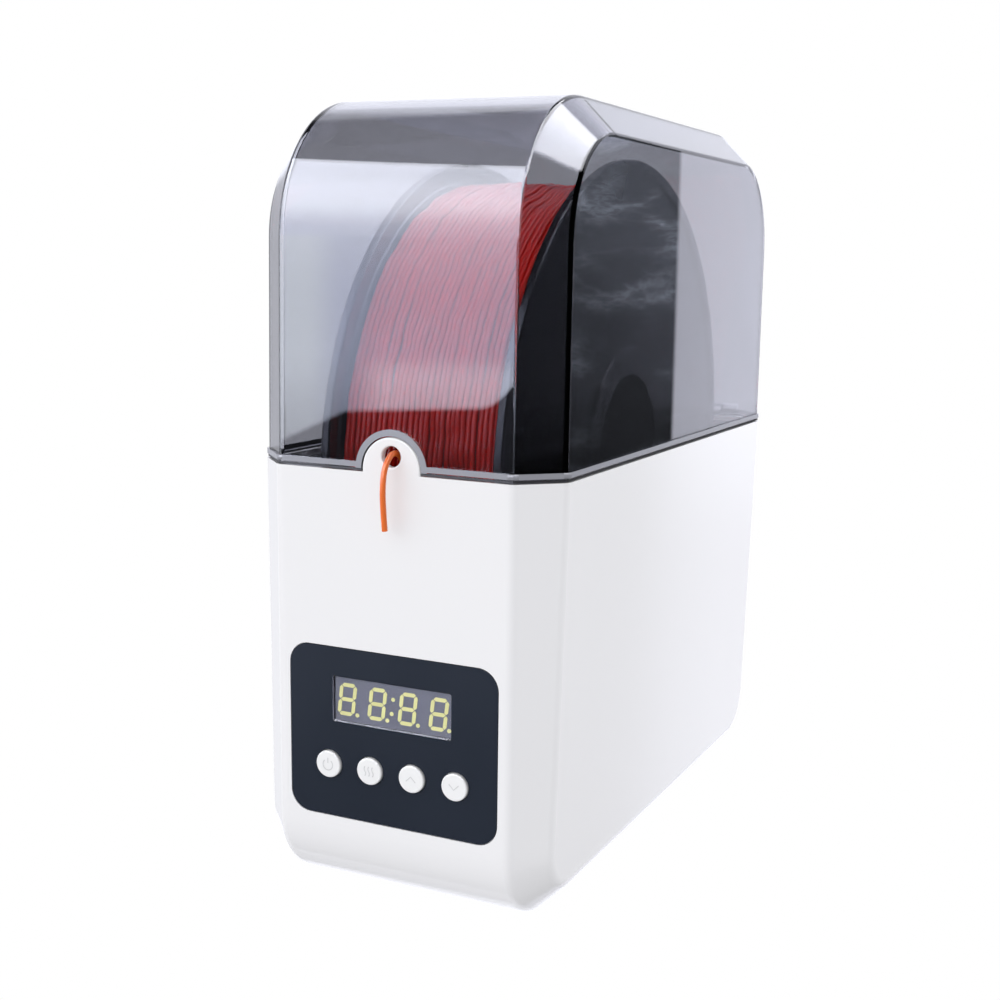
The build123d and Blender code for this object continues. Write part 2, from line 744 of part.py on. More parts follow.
component_height = 3.2
components = {"relay": (-12.0, -9.0, 19.0, 15.0), "controller": (14.0, 6.0, 10.0, 10.0),
              "terminal": (14.0, -12.0, 12.0, 5.0)}       # middle x, y, then width, height
with BuildPart() as board_parts:
    with BuildSketch(panel_plane.offset(-board_depth - board_thick - component_height)):
        for x, y, width, height in components.values():
            with Locations((x, y)):
                Rectangle(width, height)
    extrude(amount=component_height)
save(board_parts.part, "board_parts")

board_back = panel_plane.offset(-board_depth - board_thick)
board_head_radius, board_head_height, board_grip = 2.1, 1.4, 5.0
with BuildPart() as board_screws:
    with BuildSketch(board_back):
        with GridLocations(2 * board_boss_x, 2 * board_boss_y, 2, 2):
            Circle(board_head_radius)
    extrude(amount=-board_head_height)
    with BuildSketch(board_back):
        with GridLocations(2 * board_boss_x, 2 * board_boss_y, 2, 2):
            Circle(shank_radius)
    extrude(amount=board_thick + board_grip)
save(board_screws.part, "board_screws")

# ---- power inlet at the rear --------------------------------------------------------------
inlet_y = box_depth / 2 - base_slope * (rim_z - inlet_height)
inlet_plane = Plane(origin=(0, inlet_y, inlet_height), x_dir=(-1, 0, 0),
                    z_dir=(0, cos(radians(base_draft)), -sin(radians(base_draft))))
inlet_flange_radius = 5.8
inlet_flange = 1.6
inlet_body = 15.0
socket_radius = 2.75
socket_depth = 10.0
socket_pin_radius = 1.0
nut_half_flats = 6.2
nut_height = 2.0
nut_gap = 0.2                # free height between the nut and the drafted wall
with BuildPart() as power_inlet:
    with BuildSketch(inlet_plane):
        Circle(inlet_flange_radius)
    extrude(amount=inlet_flange)
    chamfer(power_inlet.edges().group_by(Axis.Y)[-1], 0.5)
    with BuildSketch(inlet_plane.offset(-inlet_body)):
        Circle(inlet_radius)
    extrude(amount=inlet_body)
    with BuildSketch(inlet_plane.offset(inlet_flange - socket_depth)):
        Circle(socket_radius)
        Circle(socket_pin_radius, mode=Mode.SUBTRACT)
    extrude(amount=socket_depth, mode=Mode.SUBTRACT)
save(power_inlet.part, "power_inlet")

with BuildPart() as inlet_nut:
    with BuildSketch(inlet_plane.offset(-base_wall - nut_height - nut_gap)):
        RegularPolygon(nut_half_flats, 6, major_radius=False)
        Circle(inlet_radius + 0.05, mode=Mode.SUBTRACT)
    extrude(amount=nut_height)
save(inlet_nut.part, "inlet_nut")

# ---- hinge pins ---------------------------------------------------------------------------
pin_length = knuckle_length + 2 * knuckle_gap + 2 * outer_knuckle
for side, word in side_names.items():
    with BuildPart() as pin:
        with BuildSketch(Plane.YZ.offset(side * hinge_spacing / 2 - pin_length / 2)):
            with Locations((hinge_y, hinge_z)):
                Circle(hinge_pin_radius)
        extrude(amount=pin_length)
        chamfer(pin.edges().filter_by(GeomType.CIRCLE), 0.3)
    save(pin.part, "hinge_pin_" + word)

# ---- lid and its seal ---------------------------------------------------------------------
lid_outer = lid_form(rim_proud)
lid_cavity = lid_form(rim_proud + lid_wall, soft=False)
notch_radius = arch_radius + arch_gap
band_radius = notch_radius + rim_height
rim_edge = 0.3

with BuildPart() as lid_shell:
    add(lid_outer)
    add(extrude(plan_sketch(lid_z, soft=True), amount=rim_height))
    chamfer(lid_shell.faces().sort_by(Axis.Z)[0].edges(), rim_edge)
    with BuildSketch(front_face):
        with Locations((0, arch_z)):
            Circle(band_radius)
        with Locations((0, lid_z - band_radius)):
            Rectangle(3 * band_radius, 2 * band_radius, mode=Mode.SUBTRACT)
    extrude(amount=-lid_wall)
    add(lid_cavity, mode=Mode.SUBTRACT)
    with BuildSketch(front_face.offset(1)):
        with Locations((0, arch_z)):
            Circle(notch_radius)
        with Locations((0, arch_z - notch_radius)):
            Rectangle(2 * notch_radius, 2 * notch_radius)
    extrude(amount=-lid_wall - 3, mode=Mode.SUBTRACT)
    add(hinge_barrels(lid_knuckles, knuckle_length, hinge_pin_radius + pin_clearance,
                      hinge_z + lid_web_drop, hinge_z + hinge_radius,
                      box_depth / 2 - lid_wall))
save(lid_shell.part, "lid_shell")

seal_inset = 0.5
seal_z = lid_z - seal_height
with BuildPart() as lid_seal:
    add(extrude(plan_sketch(seal_z, seal_inset), amount=seal_height))
    add(extrude(plan_sketch(seal_z, seal_inset + seal_width), amount=seal_height),
        mode=Mode.SUBTRACT)
    with BuildSketch(Plane.XY.offset(seal_z)):
        with Locations((0, -box_depth / 2)):
            Rectangle(2 * notch_radius, 4 * (seal_inset + seal_width))
    extrude(amount=seal_height, mode=Mode.SUBTRACT)
save(lid_seal.part, "lid_seal")

# ---- spool: two flanges, core and the wound filament ---------------------------------------
flange_inner = spool_width / 2 - bead_thick
flange_outer = flange_inner + bead_thick
web_step = bead_thick - flange_thick         # how far the web is set back from the bead
hub_radius = spool_bore_radius + 9.0
web_radius = spool_radius - bead_height
tie_hole_radius = 1.6
tie_hole_count = 2
tie_hole_angle = 45.0
tie_hole_inset = 4.0
for side, word in side_names.items():
    with BuildPart() as flange:
        with BuildSketch(Plane.XY):
            with BuildLine():
                Polyline((flange_inner, spool_bore_radius), (flange_outer, spool_bore_radius),
                         (flange_outer, hub_radius),
                         (flange_outer - web_step, hub_radius + web_step),
                         (flange_outer - web_step, web_radius - web_step),
                         (flange_outer, web_radius), (flange_outer, spool_radius),
                         (flange_inner, spool_radius), close=True)
            make_face()
        revolve(axis=Axis.X)
        with BuildSketch(Plane.YZ.offset(flange_inner)):
            with PolarLocations(web_radius - tie_hole_inset, tie_hole_count, tie_hole_angle):
                Circle(tie_hole_radius)
        extrude(amount=bead_thick, mode=Mode.SUBTRACT)
    placed = flange.part if side > 0 else mirror(flange.part, about=Plane.YZ)
    save(Pos(0, 0, spool_z) * placed, "spool_flange_" + word)

with BuildPart() as spool_core:
    with BuildSketch(Plane.YZ.offset(-flange_inner)):
        with Locations((0, spool_z)):
            Circle(core_radius)
            Circle(core_radius - core_wall, mode=Mode.SUBTRACT)
    extrude(amount=2 * flange_inner)
    with BuildSketch(Plane.YZ.offset(-flange_inner)):
        with Locations((0, spool_z)):
            Circle(spool_bore_radius + core_wall)
            Circle(spool_bore_radius, mode=Mode.SUBTRACT)
            with PolarLocations(0, 6):
                with Locations(((spool_bore_radius + core_radius) / 2, 0)):
                    Rectangle(core_radius - spool_bore_radius - core_wall, core_wall)
    extrude(amount=2 * flange_inner)
save(spool_core.part, "spool_core")

winding_gap = 0.1
with BuildPart() as filament_winding:
    with BuildSketch(Plane.YZ.offset(-flange_inner + winding_gap)):
        with Locations((0, spool_z)):
            Circle(winding_radius)
            Circle(core_radius + winding_gap, mode=Mode.SUBTRACT)
    extrude(amount=2 * (flange_inner - winding_gap))
save(filament_winding.part, "filament_winding")

# ---- loose end of the filament, from the winding out through the outlet -------------------
leave_angle = radians(23.86)         # below the spool's axis, where the strand leaves
leave_radius = winding_radius + strand_radius + 0.3
strand_start = (-4.0, -leave_radius * cos(leave_angle), spool_z - leave_radius * sin(leave_angle))
# then from the middle of the front face's top edge
strand_steps = [(-2.8, 17.2, -20.8), (-1.6, 13.4, -8.0), (-0.4, 9.4, 0.6), (0.5, 3.8, 5.5),
                (0.9, -1.6, 5.9), (0.9, -5.4, 2.0), (0.7, -6.0, -4.0), (0.8, -5.6, -10.4),
                (1.0, -5.0, -16.2)]
strand_route = [strand_start] + [(x, y - box_depth / 2, z + parting_z)
                                 for x, y, z in strand_steps]


def bend_radii(route):
    """The largest even radius at each bend of a route, from its two runs and its turn."""
    radii = []
    for before, point, after in zip(route, route[1:], route[2:]):
        arriving = Vector(*point) - Vector(*before)
        leaving = Vector(*after) - Vector(*point)
        turn = radians(arriving.get_angle(leaving))
        radii.append(0.45 * min(arriving.length, leaving.length) / tan(turn / 2))
    return radii


def round_tube(route, radius):
    """A round tube along straight runs joined by tangent arcs."""
    with BuildPart() as tube:
        with BuildLine() as path:
            FilletPolyline(*route, radius=bend_radii(route))
        with BuildSketch(Plane(origin=path.line @ 0, z_dir=path.line % 0)):
            Circle(radius)
        sweep()
    return tube.part


save(round_tube(strand_route, strand_radius), "filament_strand")

# ---- power lead inside the base, from the inlet to the control board -----------------------
lead_radius = 1.4
# y as a share of half the box's depth
lead_bends = [(0.0, 0.8829, 36.0), (0.6, 0.8739, 28.0), (4.0, 0.8108, 19.5),
              (9.0, 0.6847, 14.0), (16.0, 0.4324, 11.5), (19.0, 0.0721, 12.0),
              (17.0, -0.2883, 13.0), (14.6, -0.5946, 13.6), (14.2, -0.7568, 17.5),
              (14.0, -0.8468, 28.0), (14.0, -0.8640, 41.9)]
lead_route = [(x, share * box_depth / 2, z) for x, share, z in lead_bends]
save(round_tube(lead_route, lead_radius), "power_lead")
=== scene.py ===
import math

import bmesh
import bpy
from mathutils import Matrix, Vector


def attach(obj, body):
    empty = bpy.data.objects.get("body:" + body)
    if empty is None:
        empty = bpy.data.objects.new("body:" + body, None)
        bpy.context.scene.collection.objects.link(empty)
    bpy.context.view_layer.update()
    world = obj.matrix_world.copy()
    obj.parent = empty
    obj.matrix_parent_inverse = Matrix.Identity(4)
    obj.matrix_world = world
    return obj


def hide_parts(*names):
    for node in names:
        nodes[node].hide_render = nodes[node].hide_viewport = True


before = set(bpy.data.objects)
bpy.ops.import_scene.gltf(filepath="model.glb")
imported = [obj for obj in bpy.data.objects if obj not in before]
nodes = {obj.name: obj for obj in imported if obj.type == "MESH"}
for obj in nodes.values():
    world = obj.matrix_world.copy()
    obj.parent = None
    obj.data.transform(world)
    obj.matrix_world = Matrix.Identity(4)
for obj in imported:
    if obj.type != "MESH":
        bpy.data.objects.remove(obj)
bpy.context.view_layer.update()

# ---- Camera -------------------------------------------------------------------------------
# A long product lens in front and to the right of the box, a little above the parting line.
# It is turned towards the box's middle and leans by about a degree.
scene = bpy.context.scene
parting_z = 0.138
camera_place = Vector((0.2076, -0.4834, parting_z + 0.0616))
camera_yaw, camera_pitch, camera_roll = (math.radians(a) for a in (25.11, -9.28, 1.14))

forward = Vector((-math.sin(camera_yaw) * math.cos(camera_pitch),
                  math.cos(camera_yaw) * math.cos(camera_pitch), math.sin(camera_pitch)))
level_right = Vector((math.cos(camera_yaw), math.sin(camera_yaw), 0.0))
level_up = level_right.cross(forward)
right = math.cos(camera_roll) * level_right + math.sin(camera_roll) * level_up
up = -math.sin(camera_roll) * level_right + math.cos(camera_roll) * level_up
camera_turn = Matrix((right, up, -forward)).transposed().to_4x4()

camera = bpy.data.objects.new("camera", bpy.data.cameras.new("camera"))
camera.data.sensor_width = 36.0
camera.data.lens = 52.97
camera.data.clip_start = 0.01
camera.data.clip_end = 20.0
camera.matrix_world = Matrix.Translation(camera_place) @ camera_turn
scene.collection.objects.link(camera)
scene.camera = camera

# ---- Loose end of the filament --------------------------------------------------------------
# A strand of orange 1.75 mm filament, extruded plastic cut off square. It leaves the winding,
# comes out through the outlet in the arched tab and hangs down a little way.
def new_material(name):
    """A material with its Principled BSDF, its node tree and object coordinates."""
    material = bpy.data.materials.new(name)
    material.use_nodes = True
    tree = material.node_tree
    shader = tree.nodes["Principled BSDF"]
    place = tree.nodes.new("ShaderNodeTexCoord")
    return material, tree, shader, place.outputs["Object"]


def fine_mottle():
    """Node group: slow and fine noise that puts out masks and a slightly varied colour."""
    group = bpy.data.node_groups.new("fine_mottle", "ShaderNodeTree")
    face = group.interface
    face.new_socket("Vector", in_out="INPUT", socket_type="NodeSocketVector")
    for label, default in (("Slow Scale", 20.0), ("Fine Scale", 900.0), ("Colour Change", 0.03)):
        socket = face.new_socket(label, in_out="INPUT", socket_type="NodeSocketFloat")
        socket.default_value = default
    face.new_socket("Base", in_out="INPUT", socket_type="NodeSocketColor")
    for label, kind in (("Colour", "NodeSocketColor"), ("Slow", "NodeSocketFloat"),
                        ("Fine", "NodeSocketFloat")):
        face.new_socket(label, in_out="OUTPUT", socket_type=kind)
    make, link = group.nodes.new, group.links.new
    given, result = make("NodeGroupInput"), make("NodeGroupOutput")
    slow, fine = make("ShaderNodeTexNoise"), make("ShaderNodeTexNoise")
    slow.inputs["Detail"].default_value = 4.0
    fine.inputs["Detail"].default_value = 2.0
    for noise, scale in ((slow, "Slow Scale"), (fine, "Fine Scale")):
        link(given.outputs["Vector"], noise.inputs["Vector"])
        link(given.outputs[scale], noise.inputs["Scale"])
    centred = make("ShaderNodeMath")
    centred.operation = "SUBTRACT"
    centred.inputs[1].default_value = 0.5
    link(slow.outputs["Fac"], centred.inputs[0])
    gain = make("ShaderNodeMath")
    gain.operation = "MULTIPLY_ADD"
    gain.inputs[2].default_value = 1.0
    link(centred.outputs[0], gain.inputs[0])
    link(given.outputs["Colour Change"], gain.inputs[1])
    tint = make("ShaderNodeVectorMath")
    tint.operation = "SCALE"
    link(given.outputs["Base"], tint.inputs[0])
    link(gain.outputs[0], tint.inputs["Scale"])
    link(tint.outputs[0], result.inputs["Colour"])
    link(slow.outputs["Fac"], result.inputs["Slow"])
    link(fine.outputs["Fac"], result.inputs["Fine"])
    return group


mottle_group = fine_mottle()


def moulded(name, colour, roughness, spread=0.06, change=0.04, slow=25.0, fine=1500.0,
            bump=0.02, metal=0.0):
    """Moulded plastic, rubber or plain metal: a slightly uneven colour and sheen over a grain."""
    material, tree, shader, place = new_material(name)
    mottle = tree.nodes.new("ShaderNodeGroup")
    mottle.node_tree = mottle_group
    mottle.inputs["Slow Scale"].default_value = slow
    mottle.inputs["Fine Scale"].default_value = fine
    mottle.inputs["Colour Change"].default_value = change
    mottle.inputs["Base"].default_value = (*colour, 1.0)
    tree.links.new(place, mottle.inputs["Vector"])
    tree.links.new(mottle.outputs["Colour"], shader.inputs["Base Color"])
    rough = tree.nodes.new("ShaderNodeMapRange")
    rough.inputs["To Min"].default_value = max(0.0, roughness - spread)
    rough.inputs["To Max"].default_value = roughness + spread
    tree.links.new(mottle.outputs["Slow"], rough.inputs["Value"])
    tree.links.new(rough.outputs[0], shader.inputs["Roughness"])
    grain = tree.nodes.new("ShaderNodeBump")
    grain.inputs["Strength"].default_value = bump
    grain.inputs["Distance"].default_value = 0.0002
    tree.links.new(mottle.outputs["Fine"], grain.inputs["Height"])
    tree.links.new(grain.outputs["Normal"], shader.inputs["Normal"])
    shader.inputs["Metallic"].default_value = metal
    return material


strand_radius = 0.000875
strand_points = [(-0.0040, -0.08997, 0.09571), (-0.0028, -0.0981, 0.1172),
                 (-0.0016, -0.1019, 0.1300), (-0.0004, -0.1059, 0.1386),
                 (0.0005, -0.1115, 0.1435), (0.0009, -0.1169, 0.1439),
                 (0.0009, -0.1207, 0.1400), (0.0007, -0.1213, 0.1340),
                 (0.0008, -0.1209, 0.1276), (0.0010, -0.1203, 0.1218)]
orange = moulded("orange_filament", (0.83, 0.165, 0.028), 0.32, bump=0.05, fine=2500.0)
strand_curve = bpy.data.curves.new("filament_strand", "CURVE")
strand_curve.dimensions = "3D"
line = strand_curve.splines.new("NURBS")
line.points.add(len(strand_points) - 1)
for point, place in zip(line.points, strand_points):
    point.co = (*place, 1.0)
line.order_u = 3
line.use_endpoint_u = True
line.resolution_u = 12
strand_curve.bevel_depth = strand_radius
strand_curve.bevel_resolution = 4
strand_curve.use_fill_caps = True
strand_curve.materials.append(orange)
loose_strand = bpy.data.objects.new("loose_strand", strand_curve)
scene.collection.objects.link(loose_strand)
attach(loose_strand, "base")
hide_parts("filament_strand")


def dress(node, material):
    """Gives a CAD node its material."""
    slots = nodes[node].data.materials
    slots.clear()
    slots.append(material)


white_gloss = moulded("white_gloss", (0.915, 0.915, 0.945), 0.12, spread=0.03, change=0.012,
                      slow=12.0, bump=0.006)
white_gloss.node_tree.nodes["Principled BSDF"].inputs["Specular IOR Level"].default_value = 0.3
dress("base_shell", white_gloss)

# ---- Lid ------------------------------------------------------------------------------------
# Smoked clear polycarbonate, moulded in one piece with the rim band round its lower edge and
# polished inside and out. The smoke is a little uneven, as it is in thin moulded walls.
smoke, tree, shader, place = new_material("smoked_clear")
mottle = tree.nodes.new("ShaderNodeGroup")
mottle.node_tree = mottle_group
mottle.inputs["Slow Scale"].default_value = 14.0
mottle.inputs["Colour Change"].default_value = 0.03
mottle.inputs["Base"].default_value = (0.465, 0.468, 0.505, 1.0)
tree.links.new(place, mottle.inputs["Vector"])
tree.links.new(mottle.outputs["Colour"], shader.inputs["Base Color"])
shader.inputs["Transmission Weight"].default_value = 1.0
shader.inputs["Roughness"].default_value = 0.0
shader.inputs["IOR"].default_value = 1.5
dress("lid_shell", smoke)

# ---- Lid rim --------------------------------------------------------------------------------
# The outer face of the lid's rim band, left satin by the mould where the lid is ejected. It is
# a thin skin that follows the band and its bow round the arched tab.
band_low, band_high = 0.1389, 0.14062
arch_middle = Vector((0.0, 0.0, 0.1388))
bow_radius = 0.01185
bow_front_y, band_end_y = -0.1152, 0.1068
shell_middle_y = -0.0043
skin_thickness = 0.00006


def place_piece(name, mesh, body, replaces=None):
    """Links a finished mesh as a piece that rides a body, and hides the CAD node it replaces."""
    piece = bpy.data.objects.new(name, mesh)
    scene.collection.objects.link(piece)
    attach(piece, body)
    if replaces:
        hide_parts(replaces)
    return piece


rim_skin = bmesh.new()
rim_skin.from_mesh(nodes["lid_shell"].data)
spare = []
for face in rim_skin.faces:
    middle = face.calc_center_median()
    heights = [corner.co.z for corner in face.verts]
    bow = [(Vector((corner.co.x, 0.0, corner.co.z)) - arch_middle).length
           for corner in face.verts]
    on_band = (abs(face.normal.z) < 0.3 and band_low < min(heights)
               and max(heights) < band_high)
    outward = face.normal.x * middle.x + face.normal.y * (middle.y - shell_middle_y) > 0
    on_bow = face.normal.y < -0.99 and middle.y < bow_front_y and max(bow) < bow_radius
    if not (outward and (on_band or on_bow)) or middle.y > band_end_y:
        spare.append(face)
bmesh.ops.delete(rim_skin, geom=spare, context="FACES")
bmesh.ops.remove_doubles(rim_skin, verts=rim_skin.verts, dist=1e-6)
bmesh.ops.solidify(rim_skin, geom=rim_skin.faces, thickness=-skin_thickness)
rim_mesh = bpy.data.meshes.new("lid_rim_face")
rim_skin.to_mesh(rim_mesh)
rim_skin.free()
rim_satin = moulded("rim_satin", (0.30, 0.305, 0.345), 0.25)
rim_mesh.materials.append(rim_satin)
place_piece("lid_rim_face", rim_mesh, "lid")

# ---- Lid seal -------------------------------------------------------------------------------
# A flat strip of black rubber, cut from sheet and stuck under the lid's rim. It closes the
# chamber and shows as the dark parting line.
black_rubber = moulded("black_rubber", (0.02, 0.02, 0.022), 0.6)
dress("lid_seal", black_rubber)

# ---- Chamber tray and roller brackets -------------------------------------------------------
# The tray is the inner tub that the spool sits in, screwed to bosses in the base; a bracket on
# each side of its floor carries the axles. Both are moulded in satin black polypropylene.
black_plastic = moulded("black_plastic", (0.014, 0.015, 0.018), 0.35)
for node in ("chamber_tray", "roller_bracket_left", "roller_bracket_right"):
    dress(node, black_plastic)

# ---- Spool ----------------------------------------------------------------------------------
# Two moulded black flanges, snapped onto a core. Each has a raised hub and a raised bead round
# its rim on the outside, and a shallow groove near the rim on the inside.
spool_axis = Vector((0.0, shell_middle_y, 0.1336))
spool_black = moulded("spool_black", (0.012, 0.013, 0.016), 0.25)
dress("spool_core", spool_black)


def lathe(name, profile, centre, material, segments=192):
    """A closed profile of (x, radius) points turned round the X axis through a centre."""
    mesh = bpy.data.meshes.new(name)
    points, faces = [], []
    count = len(profile)
    for i in range(segments):
        turn = 2.0 * math.pi * i / segments
        for x, radius in profile:
            points.append((centre[0] + x, centre[1] + radius * math.cos(turn),
                           centre[2] + radius * math.sin(turn)))
    for i in range(segments):
        j = (i + 1) % segments
        for k in range(count):
            m = (k + 1) % count
            faces.append((i * count + k, i * count + m, j * count + m, j * count + k))
    mesh.from_pydata(points, [], faces)
    shape = bmesh.new()
    shape.from_mesh(mesh)
    bmesh.ops.recalc_face_normals(shape, faces=shape.faces)
    shape.to_mesh(mesh)
    shape.free()
    mesh.materials.append(material)
    for polygon in mesh.polygons:
        polygon.use_smooth = True
    mesh.set_sharp_from_angle(angle=math.radians(30))
    return mesh


inner_x, outer_x = 0.0275, 0.0305
bore_radius, hub_radius, flange_radius = 0.0275, 0.0365, 0.1000
web_x, groove_x = outer_x - 0.0008, inner_x + 0.0006
flange_profile = [(inner_x, bore_radius), (outer_x - 0.0003, bore_radius),
                  (outer_x, bore_radius + 0.0003), (outer_x, hub_radius), (web_x, 0.0373),
                  (web_x, 0.0952), (outer_x - 0.0004, 0.0956), (outer_x, 0.0960),
                  (outer_x, 0.0995), (outer_x - 0.0005, flange_radius),
                  (inner_x + 0.0005, flange_radius), (inner_x, 0.0995), (inner_x, 0.0964),
                  (groove_x, 0.0958), (groove_x, 0.0941), (inner_x, 0.0936)]
for sign, side in ((-1, "left"), (1, "right")):
    profile = [(sign * x, radius) for x, radius in flange_profile]
    mesh = lathe("flange_" + side, profile, spool_axis, spool_black)
    place_piece("flange_" + side, mesh, "spool", "spool_flange_" + side)

# ---- Wound filament -------------------------------------------------------------------------
# Red 1.75 mm filament: the outer layer as separate turns that sway and ride over each other,
# on a solid drum that stands for the layers below; the drum's darker red is painted shade.
filament_red = moulded("red_filament", (0.56, 0.013, 0.007), 0.24, spread=0.05, change=0.25,
                       slow=60.0, fine=1800.0)
filament_shader = filament_red.node_tree.nodes["Principled BSDF"]
filament_shader.inputs["Specular IOR Level"].default_value = 0.2
filament_shader.inputs["Coat Weight"].default_value = 0.3
filament_shader.inputs["Coat Roughness"].default_value = 0.07
# the lower layers' red, darkened as painted shade for the gaps between the outer turns
painted_shade_red = moulded("painted_shade_red_filament", (0.14, 0.008, 0.005), 0.5)


def winding_tree(material):
    """Geometry nodes: rings along X, swayed and lifted by noise, made into round strands."""
    tree = bpy.data.node_groups.new("wound_turns", "GeometryNodeTree")
    face, make, link = tree.interface, tree.nodes.new, tree.links.new
    face.new_socket("Geometry", in_out="INPUT", socket_type="NodeSocketGeometry")
    sizes = (("Turns", "NodeSocketInt", 30), ("Pitch", "NodeSocketFloat", 0.0018),
             ("Radius", "NodeSocketFloat", 0.0918), ("Strand Radius", "NodeSocketFloat", 0.00088),
             ("Sway", "NodeSocketFloat", 0.0026), ("Ripple", "NodeSocketFloat", 0.0012),
             ("Lift", "NodeSocketFloat", 0.0028), ("Bump", "NodeSocketFloat", 0.0026))
    for label, kind, default in sizes:
        face.new_socket(label, in_out="INPUT", socket_type=kind).default_value = default
    face.new_socket("Centre", in_out="INPUT", socket_type="NodeSocketVector")
    face.new_socket("Geometry", in_out="OUTPUT", socket_type="NodeSocketGeometry")
    given, result = make("NodeGroupInput"), make("NodeGroupOutput")
    ring_steps, strand_sides = 380, 8

    def calc(operation, *sources):
        """One Math node; each input is a socket or a number."""
        node = make("ShaderNodeMath")
        node.operation = operation
        for socket, source in zip(node.inputs, sources):
            if isinstance(source, (int, float)):
                socket.default_value = source
            else:
                link(source, socket)
        return node.outputs[0]

    def combine(x=0.0, y=0.0, z=0.0):
        """A vector of three sockets or numbers."""
        node = make("ShaderNodeCombineXYZ")
        for socket, source in zip(node.inputs, (x, y, z)):
            if isinstance(source, (int, float)):
                socket.default_value = source
            else:
                link(source, socket)
        return node.outputs[0]

    def centred_noise(position, scale, detail, shift):
        """Noise round zero; the fixed shift keeps one noise apart from another."""
        moved = make("ShaderNodeVectorMath")
        link(position, moved.inputs[0])
        moved.inputs[1].default_value = shift
        noise = make("ShaderNodeTexNoise")
        noise.inputs["Scale"].default_value = scale
        noise.inputs["Detail"].default_value = detail
        link(moved.outputs[0], noise.inputs["Vector"])
        return calc("SUBTRACT", noise.outputs["Fac"], 0.5)

    # a row of rings along X, with its middle at the origin
    step = combine(given.outputs["Pitch"])
    half = calc("MULTIPLY", calc("SUBTRACT", given.outputs["Turns"], 1), -0.5)
    start = combine(calc("MULTIPLY", half, given.outputs["Pitch"]))
    row = make("GeometryNodeMeshLine")
    link(given.outputs["Turns"], row.inputs["Count"])
    link(start, row.inputs["Start Location"])
    link(step, row.inputs["Offset"])
    ring = make("GeometryNodeCurvePrimitiveCircle")
    ring.inputs["Resolution"].default_value = ring_steps
    link(given.outputs["Radius"], ring.inputs["Radius"])
    rings = make("GeometryNodeInstanceOnPoints")
    link(row.outputs["Mesh"], rings.inputs["Points"])
    link(ring.outputs["Curve"], rings.inputs["Instance"])
    rings.inputs["Rotation"].default_value = (0.0, math.pi / 2, 0.0)
    real = make("GeometryNodeRealizeInstances")
    link(rings.outputs[0], real.inputs[0])

    # sideways sway and ripple, strongest in the middle of the winding
    position = make("GeometryNodeInputPosition").outputs[0]
    parts = make("ShaderNodeSeparateXYZ")
    link(position, parts.inputs[0])
    edge = make("ShaderNodeMapRange")
    edge.interpolation_type = "SMOOTHSTEP"
    link(calc("ABSOLUTE", parts.outputs["X"]), edge.inputs["Value"])
    free_half, winding_half = 0.016, 0.0262    # the flanges hold the outer turns straight
    for label, number in (("From Min", free_half), ("From Max", winding_half),
                          ("To Min", 1.0), ("To Max", 0.0)):
        edge.inputs[label].default_value = number
    sway = calc("MULTIPLY", centred_noise(position, 26.0, 2.0, (7.1, 3.3, 1.9)),
                given.outputs["Sway"])
    ripple = calc("MULTIPLY", centred_noise(position, 120.0, 1.5, (2.7, 9.1, 5.3)),
                  given.outputs["Ripple"])
    sideways = calc("MULTIPLY", calc("ADD", sway, ripple), edge.outputs[0])
    # the lift follows the turn, so that whole turns ride higher or lower than their neighbours
    squeezed = make("ShaderNodeVectorMath")
    squeezed.operation = "MULTIPLY"
    link(position, squeezed.inputs[0])
    squeezed.inputs[1].default_value = (14.0, 0.35, 0.35)
    lift = calc("MULTIPLY", centred_noise(squeezed.outputs[0], 26.0, 2.0, (1.3, 4.7, 8.9)),
                given.outputs["Lift"])
    bump = calc("MULTIPLY", centred_noise(position, 95.0, 1.0, (6.1, 2.2, 4.4)),
                given.outputs["Bump"])
    outward = make("ShaderNodeVectorMath")
    outward.operation = "NORMALIZE"
    link(combine(0.0, parts.outputs["Y"], parts.outputs["Z"]), outward.inputs[0])
    lifted = make("ShaderNodeVectorMath")
    lifted.operation = "SCALE"
    link(outward.outputs[0], lifted.inputs[0])
    link(calc("ADD", lift, bump), lifted.inputs["Scale"])
    total = make("ShaderNodeVectorMath")
    link(lifted.outputs[0], total.inputs[0])
    link(combine(sideways), total.inputs[1])
    bent = make("GeometryNodeSetPosition")
    link(real.outputs[0], bent.inputs["Geometry"])
    link(total.outputs[0], bent.inputs["Offset"])
    # the bent rings get their round section and move to the spool's axis
    section = make("GeometryNodeCurvePrimitiveCircle")
    section.inputs["Resolution"].default_value = strand_sides
    link(given.outputs["Strand Radius"], section.inputs["Radius"])
    solid = make("GeometryNodeCurveToMesh")
    link(bent.outputs[0], solid.inputs["Curve"])
    link(section.outputs["Curve"], solid.inputs["Profile Curve"])
    centred = make("GeometryNodeTransform")
    link(solid.outputs[0], centred.inputs["Geometry"])
    link(given.outputs["Centre"], centred.inputs["Translation"])
    smooth = make("GeometryNodeSetShadeSmooth")
    link(centred.outputs[0], smooth.inputs[0])
    final = make("GeometryNodeRealizeInstances")
    link(smooth.outputs[0], final.inputs[0])
    coat = make("GeometryNodeSetMaterial")
    coat.inputs["Material"].default_value = material
    link(final.outputs[0], coat.inputs["Geometry"])
    link(coat.outputs[0], result.inputs["Geometry"])
    return tree


def grown(name, tree, settings):
    """The plain mesh that a geometry node tree makes, given its inputs by name."""
    seed = bpy.data.objects.new(name + "_seed", bpy.data.meshes.new(name + "_seed"))
    scene.collection.objects.link(seed)
    modifier = seed.modifiers.new("grow", "NODES")
    modifier.node_group = tree
    for item in tree.interface.items_tree:
        if item.in_out == "INPUT" and item.name in settings:
            modifier[item.identifier] = settings[item.name]
    bpy.context.view_layer.update()
    graph = bpy.context.evaluated_depsgraph_get()
    mesh = bpy.data.meshes.new_from_object(seed.evaluated_get(graph))
    seed.modifiers.clear()
    bpy.data.objects.remove(seed)
    mesh.name = name
    return mesh


